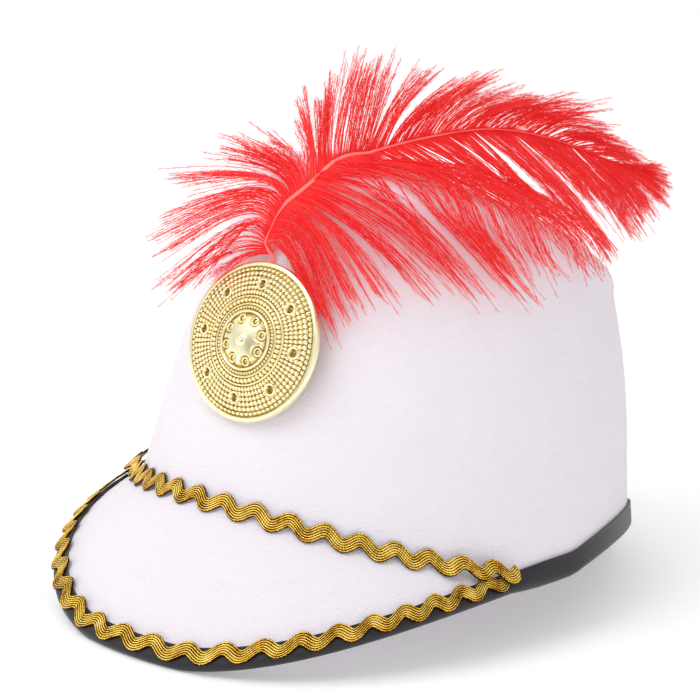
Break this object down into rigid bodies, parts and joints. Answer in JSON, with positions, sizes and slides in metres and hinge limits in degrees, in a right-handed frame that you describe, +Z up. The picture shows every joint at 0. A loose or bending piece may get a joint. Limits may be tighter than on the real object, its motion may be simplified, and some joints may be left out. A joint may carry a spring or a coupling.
{
  "type": "marching band hat",
  "caption": "White felt band hat with a round-topped crown, a moulded peak, bound edge, ric-rac braid, a round badge and a red ostrich plume.",
  "frame": {"origin": "on the surface that the hat rests on, below the middle of the crown's side wall at its base", "axes": "+Z up; -Y the way the wearer looks, towards the peak; +X the wearer's left"},
  "size_m": [0.1734, 0.2519, 0.1739],
  "materials": {
    "felt": "soft white polyester felt",
    "binding": "black woven tape with a slight sheen",
    "braid": "gold metallic ric-rac",
    "badge": "pale gold metallised plastic",
    "feather": "dyed red ostrich feather"
  },
  "bodies": {
    "root": {"felt_body": "felt", "edge_binding": "binding", "crease_braid": "braid", "edge_braid": "braid", "medallion": "badge", "plume": "feather"}
  },
  "joints": []
}
